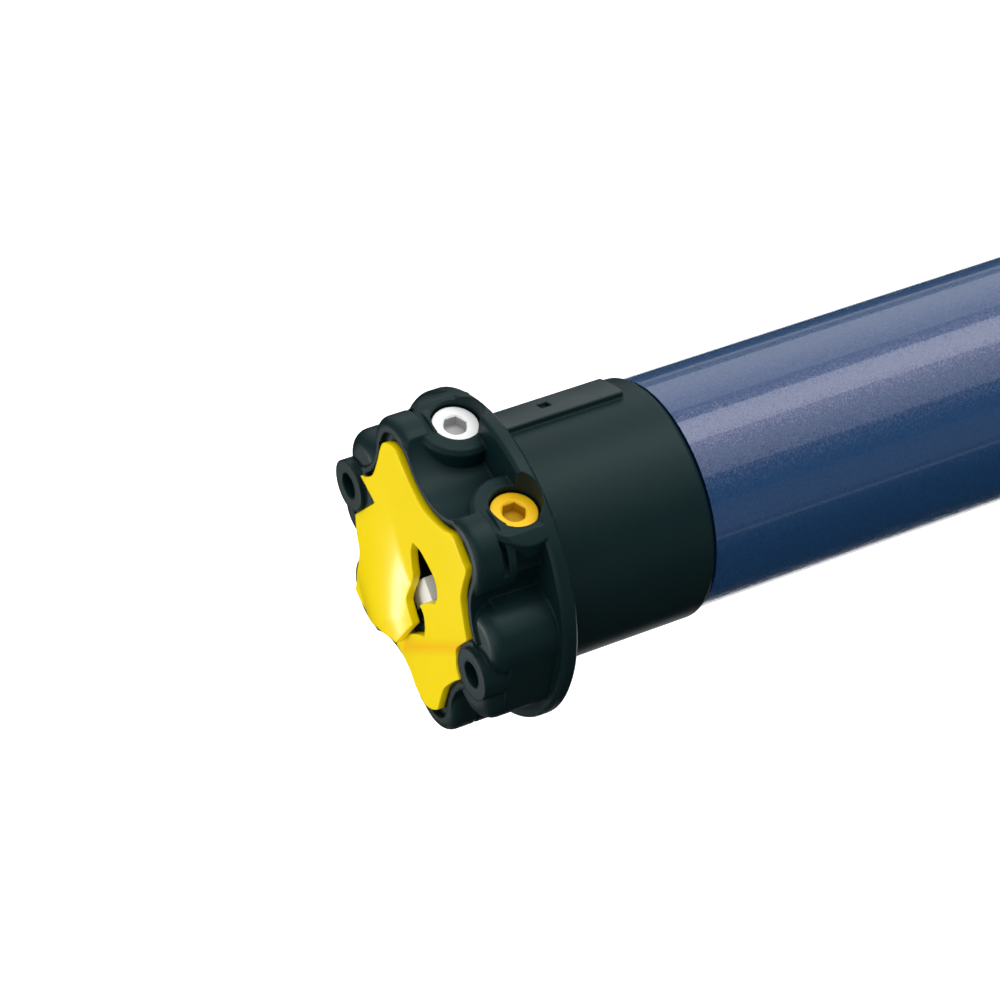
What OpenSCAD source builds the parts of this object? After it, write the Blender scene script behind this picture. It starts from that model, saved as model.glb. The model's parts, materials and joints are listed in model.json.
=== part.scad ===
// Tubular motor for a roller blind: star head, crown-driven limit unit, brake, motor and planetary gearbox.
// X runs along the tube from the mounting face of the head, Z is up and the fixing holes lie on Y.

/* [Head] */
// Distance between the two fixing holes
fixing_spacing = 48; // [47:0.5:49]
// Core diameter of each fixing hole
fixing_hole_d = 5; // [4:0.1:5.5]
// Diameter of the boss round each fixing hole
boss_d = 10; // [9:0.5:11]
// Length of the head from the mounting face to the back of its flange
head_len = 17.4; // [16.5:0.1:19]
// Thickness of the round flange at the back of the head
flange_t = 3.1; // [2:0.1:4]
// Diameter of the round flange
flange_d = 62.6; // [61:0.2:65]
// Radius of each of the four knuckles of the star
knuckle_r = 7.9; // [7:0.1:8.2]
// Height of the adjuster towers above the axis
tower_z = 26.5; // [26:0.1:27.5]
// Radius of each adjuster tower
tower_r = 8; // [7:0.1:8.5]
// Width of the black rim left round the cover
rim_w = 1.2; // [0.8:0.1:1.6]
// Distance from the mounting plane to the rim
rim_x = 1; // [0.5:0.1:1.5]

/* [Cover] */
// Thickness of the yellow cover plate
cover_t = 1.6; // [1.2:0.1:2.2]
// Radius of the opening for the plug
opening_r = 9.2; // [8.5:0.1:9.4]
// Height of the cable hood above the cover at its open end
hood_h = 2.4; // [2:0.1:4]
// Radius of the hood's curved back
hood_r = 20; // [14:0.5:24]
// Wall of the hood
hood_wall = 1.3; // [1:0.1:1.6]

/* [Limit adjusters] */
// Distance of each adjuster from the middle plane
adjuster_y = 11; // [10.5:0.1:11.5]
// Distance of the adjusters from the mounting face
adjuster_x = 12.2; // [11.9:0.1:12.3]
// Height of the adjuster heads' top face
adjuster_z = 25.2; // [24.5:0.1:26]
// Diameter of an adjuster head
adjuster_d = 8.6; // [7.5:0.1:9]
// Hexagon key size across flats
adjuster_key = 4; // [3:0.5:4]
// Travel of each limit switch either way from the middle of its range
switch_travel = 2; // [1:0.5:3]

/* [Crown] */
// Outer diameter of the crown, which fits the bore of a 50 mm roller tube
crown_d = 46.8; // [46:0.1:47]
// Length of the crown
crown_len = 33.2; // [32:0.2:36]
// Length of the crown's key
key_len = 27; // [20:1:30]
// Width of the key
key_w = 8.4; // [6:0.2:9]
// Height of the key above the crown
key_h = 1.2; // [0.8:0.1:1.6]
// Angle of the key round the crown, from +Y towards +Z
key_angle = 61; // [0:1:359]

/* [Tube] */
// Outer diameter of the motor tube
tube_d = 45; // [44:0.5:46]
// Wall of the motor tube
tube_wall = 1.5; // [1.2:0.1:1.6]

/* [Motor] */
// Length of the motor's core, which sets the length of the motor and its tube
stack_len = 150; // [100:5:220]
// Length of the motor's capacitor
capacitor_len = 60; // [45:1:75]

/* [Drive wheel] */
// Diameter of the drive wheel
wheel_d = 46.8; // [46:0.1:47]
// Width of the drive wheel
wheel_w = 19; // [16:0.5:21]
// Diameter of the output shaft in the drive wheel
drive_shaft_d = 12; // [11:0.5:13]
// Width over the two flats of the output shaft
drive_shaft_flats = 10; // [9:0.5:10.5]

/* [Gears] */
// Module of every gear
gear_m = 0.8; // [0.75:0.01:0.81]
// Teeth of each sun gear
sun_z = 12; // [12]
// Teeth of each planet gear
planet_z = 15; // [15]
// Teeth inside the crown
crown_z = 48; // [48]
// Teeth of the limit unit's pinion
pinion_z = 24; // [24]
// Backlash of each gear pair at the pitch circle
backlash = 0.24; // [0.2:0.02:0.3]

/* [Fits] */
// Radial running clearance of shafts, pins and the crown
run_gap = 0.06; // [0.04:0.01:0.09]
// Gap between parts that only sit beside each other
side_gap = 0.3; // [0.2:0.05:0.4]
// Radial clearance of what is pushed into the tube
tube_gap = 0.1; // [0.05:0.01:0.15]

/* [Hidden] */
$fn = 72;
eps = 0.01;
past = 1;
turn = 360;
SIDES = [-1, 1];
BLACK = [0.10, 0.13, 0.13];
YELLOW = [0.98, 0.86, 0.05];
WHITE = [0.95, 0.95, 0.95];
STEEL = [0.62, 0.64, 0.66];
BRASS = [0.80, 0.65, 0.30];
COPPER = [0.75, 0.42, 0.25];
NYLON = [0.86, 0.85, 0.80];
ZINC = [0.70, 0.71, 0.72];

// Axial stations
side_play = 0.5;
crown_x0 = head_len + side_play;
crown_x1 = crown_x0 + crown_len;
tube_x0 = crown_x1 + side_play;
tube_r = tube_d / 2;
bore_r = tube_r - tube_wall;
fit_r = bore_r - tube_gap;
crown_r = crown_d / 2;
flange_r = flange_d / 2;
flange_x0 = head_len - flange_t;
cover_x = rim_x - 0.3;
star_floor = cover_x + cover_t;

// Shapes along X
module along_x(x) translate([x, 0, 0]) rotate([0, 90, 0]) children();
module prism_x(x0, x1) translate([x0, 0, 0]) rotate([90, 0, 90]) linear_extrude(x1 - x0) children();
module rod_x(x0, x1, r) along_x(x0) cylinder(h = x1 - x0, r = r);
module ring_x(x0, x1, ro, ri) prism_x(x0, x1) difference() {
  circle(ro);
  circle(ri);
}
module at_yz(y, z) translate([0, y, z]) children();
module turned(a) rotate([a, 0, 0]) children();
// A revolve about the X axis, from a profile of [x, radius] points
module revolve_x(points) rotate([0, 90, 0]) rotate_extrude()
  polygon([for (p = points) [p[1], p[0]]]);

// Involute gears
pressure = 25;
function inv_angle(a) = tan(a) * 180 / PI - a;
function base_r(z) = gear_m * z / 2 * cos(pressure);
function half_tooth(z, slack, r) =
  90 / z - slack * 90 / (PI * gear_m * z / 2) + inv_angle(pressure)
  - (r > base_r(z) ? inv_angle(acos(base_r(z) / r)) : 0);
function ray(r, a) = [r * cos(a), r * sin(a)];
flank_steps = 4;
// Outline of a gear with z teeth: slack thins the teeth, and the first tooth points along +Y
function gear_points(z, r_root, r_tip, slack) = [
  for (i = [0 : z - 1], side = SIDES, k = [0 : flank_steps + 1])
    let (
      from = max(base_r(z), r_root),
      step = side < 0 ? k : flank_steps + 1 - k,
      r = step == 0 ? r_root : from + (r_tip - from) * (step - 1) / flank_steps
    )
    ray(r, i * turn / z + side * half_tooth(z, slack, r))
];
addendum = gear_m;
dedendum = 1.25 * gear_m;
module outer_gear(z) polygon(
  gear_points(z, gear_m * z / 2 - dedendum, gear_m * z / 2 + addendum * 0.95, backlash / 4)
);
module gear_hole(z) polygon(
  gear_points(z, gear_m * z / 2 - addendum * 0.95, gear_m * z / 2 + dedendum, -backlash / 4)
);

// Star outline of the head, seen along X
star_core_r = 20.7;
lobe_y = 12.2;
lobe_z = 19.2;
lobe_r = 5;
scoop_r = 13.6;
side_scoop_r = 13.3;
side_scoop_z = 15.5;
point_z = 6.2;
point_y = 21.6;
boss_y = fixing_spacing / 2;
boss_r = boss_d / 2;
notch_r = boss_r + rim_w;
module lobes(r) for (sy = SIDES, sz = SIDES) translate([sy * lobe_y, sz * lobe_z]) circle(r);
module side_scoops(grow) for (sy = SIDES, sz = SIDES)
  translate([sy * (lobe_y + lobe_r + side_scoop_r), sz * side_scoop_z]) circle(side_scoop_r - grow);
module star(grow) difference() {
  union() {
    circle(star_core_r + grow);
    lobes(lobe_r + grow);
    square([2 * lobe_y, 2 * (lobe_z + lobe_r + grow)], center = true);
    for (sy = SIDES, sz = SIDES) polygon([
      [0, sz * lobe_z], [sy * (lobe_y + lobe_r + grow), sz * lobe_z],
      [sy * (point_y + grow), sz * point_z], [0, sz * point_z]
    ]);
    square([2 * point_y, 2 * (point_z + grow)], center = true);
  }
  for (sz = SIDES) translate([0, sz * (star_core_r + scoop_r)]) circle(scoop_r - grow);
  side_scoops(grow);
}

// Neck that carries the crown, and the space behind it where the crown's teeth run
gear_zone = 5;
gear_x0 = crown_x1 - gear_zone - 1.3;
gear_x1 = gear_x0 + gear_zone;
crown_pitch_r = gear_m * crown_z / 2;
pinion_pitch_r = gear_m * pinion_z / 2;
spindle_z = -(crown_pitch_r - pinion_pitch_r);
neck_r = crown_pitch_r + 0.6;
neck_bore_r = 16.5;
neck_wall_x0 = gear_x0 - 2.2;
bridge_r = crown_pitch_r - addendum - side_gap * 1.5;
frame_x0 = tube_x0 + side_gap;
bridge_floor = spindle_z + pinion_pitch_r + addendum + side_gap;
screw_r = 1.5;
screw_head_r = 2.7;
screw_head_t = 1.6;
frame_screw_spots = [[15, 3.2], [-15, 3.2], [0, 14.5]];
journal_r = 1.5;

// Adjusters and the flexible shafts below them
pocket_r = adjuster_d / 2 + 0.4;
adjuster_head_t = 3;
adjuster_floor = adjuster_z - adjuster_head_t;
stem_r = 2.5;
stem_bottom = 14;
flex_r = 1.1;
flex_z = 8;
flex_bend = 3;
flex_hole_r = flex_r + 0.8;
pocket_top = flange_r + past;

// Limit unit
plate_t = 6.5;
limit_x0 = frame_x0 + plate_t;
rear_plate_t = 3;
counter_travel = 12;
nut_t = 6;
nut_half = nut_t / 2;
spindle_r = 2.5;
set_spindle_r = 2;
rail_in = 14.6;
rail_out = 18;
rail_low = -6;
rail_high = 9;
slot_deep = 1.2;
nut_slot = [-2.6, -0.4];
carriage_slot = [4.9, 7.1];
button_out = 1;
button_travel = 0.6;
switch_gap = 0.4;
carriage_len = 10;
switch_len = 8;
end_room = 1.2;
limit_half = nut_half + counter_travel + 2 * switch_travel + switch_gap + button_out + carriage_len + end_room;
limit_len = 2 * limit_half;
limit_x1 = limit_x0 + limit_len;
counter_x = limit_x0 + limit_half;
white_carriage_x = counter_x + nut_half + counter_travel + switch_travel + switch_gap + button_out;
yellow_carriage_x = counter_x - nut_half - counter_travel - switch_travel - switch_gap - button_out
  - carriage_len;

// Motor, brake and gearbox, one behind the other
capacitor_x0 = limit_x1 + rear_plate_t + 6;
capacitor_r = 15;
capacitor_x1 = capacitor_x0 + capacitor_len;
cup_t = 3;
cup_len = 10;
brake_x0 = capacitor_x1 + cup_t + 8;
magnet_len = 22;
armature_gap = 0.4;
armature_t = 3;
brake_disc_t = 3;
face_gap = 0.1;
armature_x0 = brake_x0 + magnet_len + armature_gap;
disc_x0 = armature_x0 + armature_t + face_gap;
shield_x0 = disc_x0 + brake_disc_t + face_gap;
shield_t = 9;
bearing_w = 7;
bearing_r = 11;
shaft_r = 4;
winding_len = 10;
winding_gap = 2;
winding_x0 = shield_x0 + shield_t + winding_gap;
stack_x0 = winding_x0 + winding_len;
stack_x1 = stack_x0 + stack_len;
winding_x1 = stack_x1 + winding_len;
rear_shield_x0 = winding_x1 + winding_gap;
rear_shield_x1 = rear_shield_x0 + shield_t;
stator_bore_r = 11.4;
rotor_r = 11;
slots = 12;
slot_in = 12.4;
slot_out = 18.4;
slot_w = 3.4;
slot_mouth = 1.2;

ring_z = sun_z + 2 * planet_z;
ring_pitch_r = gear_m * ring_z / 2;
planet_orbit = gear_m * (sun_z + planet_z) / 2;
planets = 3;
planet_pin_r = 2;
carrier_r = ring_pitch_r - addendum - 0.7;
plate_gap = 0.5;
ring_x0 = rear_shield_x1 + 1;
stage_w = [12, 16, 20];
carrier_t = [3.5, 4.5, 6.5];
stage_x0 = [
  ring_x0 + 2,
  ring_x0 + 2 + stage_w[0] + 2 * plate_gap + carrier_t[0],
  ring_x0 + 2 + stage_w[0] + stage_w[1] + 4 * plate_gap + carrier_t[0] + carrier_t[1]
];
function stage_x1(s) = stage_x0[s] + stage_w[s];
function carrier_x0(s) = stage_x1(s) + plate_gap;
function carrier_x1(s) = carrier_x0(s) + carrier_t[s];
ring_x1 = carrier_x1(2) + 2;
out_shaft_r = 7;
bush_r = 9;
flange_out_t = 6;
flange_seat_len = 51.4;
flange_recess = 8;
bush_x0 = ring_x1 + flange_recess + 1;
tube_x1 = ring_x1 + flange_seat_len;
out_flange_x1 = tube_x1 + flange_out_t;
wheel_x0 = out_flange_x1 + 3;
wheel_x1 = wheel_x0 + wheel_w;
clip_t = 1.2;
clip_gap = 0.3;
drive_r = drive_shaft_d / 2;
shaft_end = wheel_x1 + clip_gap + clip_t + 3;
groove_r = drive_r - 0.8;

// Knuckles, ears round the bosses and adjuster towers behind the star's front
knuckle_round = 1.7;
knuckle_back = 8.6;
ear_r = boss_r + 1.8;
ear_y = boss_y - 1.8;
ear_z = 6.2;
ear_x = 1.6;
ear_round = 3;
function shoulder(x, r, round) = [
  for (a = [0 : 15 : 90]) [x + round * (1 - cos(a)), r - round * (1 - sin(a))]
];
module knob(y, z, x0, x1, r, round) at_yz(y, z)
  revolve_x(concat([[x0, 0]], shoulder(x0, r, round), [[x1, r], [x1, 0]]));
module knuckles() difference() {
  for (sy = SIDES) {
    knob(sy * lobe_y, lobe_z, rim_x, knuckle_back, knuckle_r, knuckle_round);
    knob(sy * lobe_y, -lobe_z, rim_x, flange_x0 + eps, knuckle_r, knuckle_round);
  }
  ring_x(lobe_groove_x, lobe_groove_x + lobe_groove_w, flange_r + past, lobe_groove_r);
}
module side_ears() {
  for (sy = SIDES, sz = SIDES) knob(sy * ear_y, sz * ear_z, ear_x, flange_x0 + eps, ear_r, ear_round);
  prism_x(ear_x + ear_round, flange_x0 + eps) {
    square([2 * (ear_y + ear_r), 2 * ear_z], center = true);
    square([2 * ear_y, 2 * (ear_z + ear_r)], center = true);
  }
}
module towers() intersection() {
  for (sy = SIDES) translate([adjuster_x, sy * adjuster_y, stem_bottom]) {
    cylinder(r = tower_r - 0.8, h = tower_z - stem_bottom);
    translate([0, 0, tower_z - stem_bottom - 5]) cylinder(r = tower_r, h = 4.2);
    translate([0, 0, tower_z - stem_bottom - 0.8 - eps])
      cylinder(r1 = tower_r, r2 = tower_r - 0.8, h = 0.8 + eps);
  }
  rod_x(0, head_len, flange_r);
}
module flange() revolve_x([
  [flange_x0, 0], [flange_x0, flange_r - 0.6], [flange_x0 + 0.6, flange_r],
  [head_len - 0.6, flange_r], [head_len, flange_r - 0.6], [head_len, 0]
]);
lobe_groove_x = 5.9;
lobe_groove_w = 1.2;
lobe_groove_r = flange_r - 3.2;
module top_scoops() for (sz = SIDES)
  translate([0, sz * (star_core_r + scoop_r)]) circle(scoop_r - rim_w);
module star_body() difference() {
  union() {
    prism_x(rim_x, flange_x0 + eps) star(rim_w);
    knuckles();
    side_ears();
  }
  prism_x(rim_x - past, flange_x0) top_scoops();
}
module bosses() for (sy = SIDES) {
  at_yz(sy * boss_y, 0) rod_x(0, flange_x0 + eps, boss_r);
  prism_x(rim_x, flange_x0 + eps) translate([sy * boss_y / 2, 0]) square([boss_y, boss_d], center = true);
}
socket_r = 10.3;
socket_x1 = 15;
module neck() {
  rod_x(head_len - eps, gear_x0 - side_gap, neck_r);
  prism_x(gear_x0 - side_gap - eps, frame_x0) intersection() {
    circle(bridge_r);
    translate([-bridge_r, bridge_floor]) square([2 * bridge_r, bridge_r]);
  }
}
module adjuster_pocket(sy) translate([adjuster_x, sy * adjuster_y, 0]) {
  translate([0, 0, adjuster_floor]) cylinder(r = pocket_r, h = pocket_top);
  translate([0, 0, stem_bottom]) cylinder(r = stem_r + run_gap, h = pocket_top);
  translate([0, 0, flex_z - flex_hole_r]) cylinder(r = flex_hole_r, h = stem_bottom);
}
module head_body() color(BLACK) difference() {
  union() {
    star_body();
    bosses();
    towers();
    flange();
    neck();
  }
  prism_x(rim_x - past, star_floor) cover_outline(cover_gap);
  for (sy = SIDES) {
    at_yz(sy * boss_y, 0) rod_x(-past, flange_x0 - 2, fixing_hole_d / 2);
    adjuster_pocket(sy);
    at_yz(sy * adjuster_y, flex_z) rod_x(adjuster_x, head_len + 4, flex_hole_r);
  }
  rod_x(0, socket_x1, socket_r);
  rod_x(socket_x1 - eps, head_len + 4, socket_r - 2);
  rod_x(head_len + 3, neck_wall_x0, neck_bore_r);
  // Bridge: flexible shafts, frame screws, leads, and the spindle's front bearing
  for (sy = SIDES) at_yz(sy * adjuster_y, flex_z) rod_x(neck_wall_x0 - past, frame_x0 + past, flex_hole_r);
  for (p = frame_screw_spots) at_yz(p[0], p[1]) rod_x(gear_x0 + 1, frame_x0 + past, screw_r);
  at_yz(0, 6) rod_x(neck_wall_x0 - past, frame_x0 + past, 4);
  at_yz(0, spindle_z) rod_x(neck_wall_x0 - past, gear_x0, journal_r + run_gap);
}

// Yellow cover with its cable hood
opening_at = [0.1, 1.5];
cover_gap = 0.12;
slot_points = [[-9, -1], [-7.4, -6], [-6.4, -9.3], [-2, -13.7], [-0.4, -17.4], [9, -17.4], [9.2, 0]];
module cover_outline(grow) difference() {
  star(grow);
  for (sy = SIDES) translate([sy * boss_y, 0]) circle(notch_r - grow);
  polygon([
    [boss_y, 7.5 - grow], [14.4 + grow, 5.6 - grow], [20.4 + grow, -4.2 + grow], [boss_y, -6]
  ]);
}
module cover_plate() prism_x(cover_x, star_floor) difference() {
  cover_outline(0);
  translate(opening_at) circle(opening_r);
  polygon(slot_points);
}
// The hood is a tilted round shell that rises out of the plate towards its open lower end
hood_y = 6;
hood_top = 9;
hood_bottom = -19.4;
hood_edge = -0.5;
hood_back = 18;
hood_tilt = atan(hood_h / (hood_top - hood_bottom));
module hood_rod(r) translate([cover_x + hood_r, hood_y, hood_top]) rotate([0, hood_tilt, 0])
  translate([0, 0, hood_bottom * 3]) cylinder(r = r, h = -hood_bottom * 4);
module hood() difference() {
  intersection() {
    hood_rod(hood_r);
    translate([cover_x - 2 * hood_h, hood_edge, hood_bottom])
      cube([2 * hood_h + cover_t / 2, hood_back - hood_edge, hood_top - hood_bottom]);
    prism_x(-bore_r, bore_r) cover_outline(0);
  }
  hood_rod(hood_r - hood_wall);
}
module front_cover() color(YELLOW) {
  difference() {
    cover_plate();
    hood_rod(hood_r - hood_wall);
  }
  hood();
}

// Socket for the cable's plug: a base with a slanting key block and four pins above it
socket_base = 3.5;
block_t = 4.6;
block_len = 8;
block_angle = 120;
block_x = 3;
block_at = [-0.3, -5.4];
module cable_socket() color(WHITE) {
  rod_x(socket_x1 - socket_base, socket_x1 - 0.1, socket_r - 0.15);
  at_yz(block_at[0], block_at[1]) turned(block_angle) translate([block_x, -block_len / 2, -block_t / 2])
    cube([socket_x1 - socket_base - block_x + eps, block_len, block_t]);
}
pin_spread = 3.6;
pin_z = 4.2;
pin_r = 0.9;
module contact_pins() color(BRASS) for (sy = SIDES, up = [0, 1])
  at_yz(sy * pin_spread, pin_z + up * pin_spread - pin_spread / 2)
    rod_x(socket_x1 - socket_base - 5, socket_x1 - socket_base, pin_r);

// Limit adjusters: hexagon-socket head on a stem
module adjuster(sy) translate([adjuster_x, sy * adjuster_y, 0]) difference() {
  union() {
    translate([0, 0, adjuster_floor + 0.1]) cylinder(r = adjuster_d / 2, h = adjuster_head_t - 0.1);
    translate([0, 0, stem_bottom + 1]) cylinder(r = stem_r, h = adjuster_floor - stem_bottom - 0.5);
  }
  translate([0, 0, adjuster_z - 2.4]) cylinder(d = adjuster_key / cos(30), h = 5, $fn = 6);
  translate([0, 0, adjuster_z - 0.5]) cylinder(r1 = adjuster_key / 2, r2 = adjuster_key / 2 + 1, h = 1);
  translate([0, 0, 0]) cylinder(r = flex_r + run_gap, h = stem_bottom + 3);
}
module white_adjuster() color(WHITE) adjuster(1);
module yellow_adjuster() color(YELLOW) adjuster(-1);

// Flexible shaft: down out of the adjuster's stem, round a bend and back to the set spindle
flex_x1 = frame_x0 + 4.5;
spindle_end_r = flex_r + 1;
module flex_shaft(sy) translate([adjuster_x, sy * adjuster_y, 0]) {
  translate([0, 0, flex_z + flex_bend]) cylinder(r = flex_r, h = stem_bottom + 2 - flex_z - flex_bend);
  translate([flex_bend, 0, flex_z + flex_bend]) rotate([-90, 0, 0]) rotate([0, 0, 90])
    rotate_extrude(angle = 90) translate([flex_bend, 0]) circle(flex_r, $fn = 24);
  translate([0, 0, flex_z]) rod_x(flex_bend, flex_x1 - adjuster_x, flex_r);
}
module white_flex_shaft() color(STEEL) flex_shaft(1);
module yellow_flex_shaft() color(STEEL) flex_shaft(-1);

// Crown: sleeve with a key, a rounded rear edge and teeth inside
crown_round = 1.4;
teeth_root_r = crown_pitch_r + dedendum;
module crown_key(grow) turned(key_angle) translate([crown_x0 + 0.8, 0, 0]) intersection() {
  translate([0, crown_r - 2, -key_w / 2]) cube([key_len, 4, key_w]);
  rod_x(0, key_len, crown_r + key_h);
}
module crown() color(BLACK) difference() {
  union() {
    revolve_x([
      [crown_x0, 0], [crown_x0, crown_r - 0.5], [crown_x0 + 0.5, crown_r],
      for (a = [0 : 15 : 90]) [
        crown_x1 - crown_round + crown_round * sin(a), crown_r - crown_round + crown_round * cos(a)
      ],
      [crown_x1, 0]
    ]);
    crown_key();
  }
  rod_x(crown_x0 - past, gear_x0 + eps, neck_r + run_gap);
  prism_x(gear_x0, gear_x1 + eps) gear_hole(crown_z);
  rod_x(gear_x1, crown_x1 + past, teeth_root_r + 0.2);
  // Slot across the key where the roller tube's catch sits
  turned(key_angle) translate([crown_x0 + 12.5, crown_r + 0.3, -1.2]) cube([2.2, 3, 2.4]);
}

// Frame of the limit unit: front plate, rear plate and two grooved side rails
module limit_rails() for (sy = SIDES) difference() {
  intersection() {
    translate([limit_x0 - eps, min(sy * rail_in, sy * rail_out), rail_low])
      cube([limit_len + 2 * eps, rail_out - rail_in, rail_high - rail_low]);
    rod_x(frame_x0, limit_x1 + past, fit_r);
  }
  for (s = [nut_slot, carriage_slot])
    translate([limit_x0 - past, sy * rail_in - slot_deep, s[0]])
      cube([limit_len + 2 * past, 2 * slot_deep, s[1] - s[0]]);
}
module limit_frame() color(NYLON) difference() {
  union() {
    rod_x(frame_x0, limit_x0, fit_r);
    rod_x(limit_x1, limit_x1 + rear_plate_t, fit_r);
    limit_rails();
  }
  at_yz(0, spindle_z) rod_x(frame_x0 - past, limit_x1 + rear_plate_t + past, journal_r + run_gap);
  for (sy = SIDES) {
    at_yz(sy * adjuster_y, flex_z) rod_x(frame_x0 - past, limit_x0 + past, spindle_end_r + run_gap);
    at_yz(sy * adjuster_y, flex_z) rod_x(limit_x1 - past, limit_x1 + rear_plate_t + past, journal_r + run_gap);
  }
  for (p = frame_screw_spots) at_yz(p[0], p[1]) {
    rod_x(frame_x0 - past, limit_x0 + past, screw_r + 0.1);
    rod_x(limit_x0 - screw_head_t - 0.2, limit_x0 + past, screw_head_r + 0.1);
  }
  // Lead openings
  at_yz(0, 6) rod_x(frame_x0 - past, limit_x0 + past, 4);
  at_yz(0, 12) rod_x(limit_x1 - past, limit_x1 + rear_plate_t + past, 5);
  for (a = tube_screw_angles) turned(a) translate([tube_screw_x, fit_r - 5, 0])
    rotate([-90, 0, 0]) cylinder(r = screw_r, h = 8);
}
module frame_screws() color(STEEL) for (p = frame_screw_spots) at_yz(p[0], p[1]) difference() {
  union() {
    rod_x(gear_x0 + 1.5, limit_x0 - 1, screw_r - 0.02);
    rod_x(limit_x0 - screw_head_t, limit_x0, screw_head_r);
  }
  along_x(limit_x0 - 1) cylinder(d = 2.4, h = 3, $fn = 6);
}

// Counter: pinion and threaded spindle in one, driven by the crown, with the nut that travels on it
module counter_spindle() color(NYLON) at_yz(0, spindle_z) {
  rod_x(neck_wall_x0 + 0.3, gear_x0 + 0.4, journal_r);
  prism_x(gear_x0 + 0.3, gear_x1 - 0.3) outer_gear(pinion_z);
  rod_x(gear_x1 - 0.3 - eps, limit_x0 + 0.3, journal_r);
  rod_x(limit_x0 + 0.3, limit_x1 - 0.3, spindle_r);
  rod_x(limit_x1 - 0.3 - eps, limit_x1 + rear_plate_t, journal_r);
}
module counter_nut() color(WHITE) difference() {
  prism_x(counter_x - nut_half, counter_x + nut_half) {
    translate([-6, spindle_z - 5.4]) square([12, 11]);
    translate([-rail_in + side_gap, -3.7]) square([2 * (rail_in - side_gap), 4.3]);
    translate([-rail_in - slot_deep + 0.2, nut_slot[0] + 0.15])
      square([2 * (rail_in + slot_deep - 0.2), nut_slot[1] - nut_slot[0] - 0.3]);
  }
  at_yz(0, spindle_z) rod_x(counter_x - nut_half - past, counter_x + nut_half + past, spindle_r + run_gap);
}

module set_spindle(sy) at_yz(sy * adjuster_y, flex_z) difference() {
  union() {
    rod_x(frame_x0 + 1.5, limit_x0 + 0.3, spindle_end_r);
    rod_x(limit_x0 + 0.3 - eps, limit_x1 - 0.3, set_spindle_r);
    rod_x(limit_x1 - 0.3 - eps, limit_x1 + rear_plate_t, journal_r);
  }
  rod_x(frame_x0, flex_x1 + 0.5, flex_r + run_gap);
}
module white_set_spindle() color(BRASS) set_spindle(1);
module yellow_set_spindle() color(BRASS) set_spindle(-1);

// Carriage for one microswitch; dir points from the switch towards the nut
module carriage(sy, x0) difference() {
  prism_x(x0, x0 + carriage_len) scale([sy, 1]) {
    translate([6.5, 3.6]) square([rail_in - side_gap - 6.5, 8.4]);
    translate([8, carriage_slot[0] + 0.15])
      square([rail_in + slot_deep - 0.2 - 8, carriage_slot[1] - carriage_slot[0] - 0.3]);
  }
  at_yz(sy * adjuster_y, flex_z) rod_x(x0 - past, x0 + carriage_len + past, set_spindle_r + run_gap);
}
module white_switch_carriage() color(WHITE) carriage(1, white_carriage_x);
module yellow_switch_carriage() color(YELLOW) carriage(-1, yellow_carriage_x);
button_w = 1.8;
button_t = 2.2;
button_slot = 1.6;
switch_low = -3;
switch_high = 3.6;
switch_y = 10;
module microswitch(sy, x0, dir) difference() {
  translate([dir < 0 ? x0 : x0 + carriage_len - switch_len, min(sy * 6, sy * 14.2), switch_low])
    cube([switch_len, 8.2, switch_high - switch_low]);
  button_space(sy, x0, dir, 0.12, button_slot + button_travel + 0.2);
}
// Button of a microswitch: it stands out of the end that faces the nut
module button_space(sy, x0, dir, grow, deep) {
  face = dir < 0 ? x0 : x0 + carriage_len;
  from = dir < 0 ? face - (grow > 0 ? past : button_out) : face - deep;
  translate([from, sy * switch_y - button_w / 2 - grow, -button_t / 2 - grow])
    cube([deep + (grow > 0 ? past : button_out), button_w + 2 * grow, button_t + 2 * grow]);
}
module white_microswitch() color(BLACK) microswitch(1, white_carriage_x, -1);
module yellow_microswitch() color(BLACK) microswitch(-1, yellow_carriage_x, 1);
module white_switch_button() color([0.8, 0.1, 0.1]) button_space(1, white_carriage_x, -1, 0, button_slot);
module yellow_switch_button() color([0.8, 0.1, 0.1])
  button_space(-1, yellow_carriage_x, 1, 0, button_slot);

// Tube and its screws
tube_screw_x = frame_x0 + 3;
tube_screw_angles = [-115, -60, -5];
rear_screw_x = tube_x1 - 14;
rear_screw_angles = [-135, -45, 45, 135];
tube_screw_r = 1.7;
screw_cap_r = 2.8;
screw_cap_t = 0.9;
module for_tube_screws() {
  for (a = tube_screw_angles) turned(a) translate([tube_screw_x, 0, 0]) children();
  for (a = rear_screw_angles) turned(a) translate([rear_screw_x, 0, 0]) children();
}
module motor_tube() color([0.05, 0.16, 0.38]) difference() {
  ring_x(tube_x0, tube_x1, tube_r, bore_r);
  for_tube_screws() rotate([-90, 0, 0]) cylinder(r = tube_screw_r, h = tube_r + past);
}
module tube_screws() color(STEEL) for_tube_screws() rotate([-90, 0, 0]) {
  translate([0, 0, fit_r - 4]) cylinder(r = screw_r - 0.02, h = tube_r - fit_r + 4.5);
  intersection() {
    translate([0, 0, tube_r + 0.02]) cylinder(r = screw_cap_r, h = screw_cap_t);
    translate([0, 0, tube_r - 3.9]) sphere(r = 4.8);
  }
}

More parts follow.
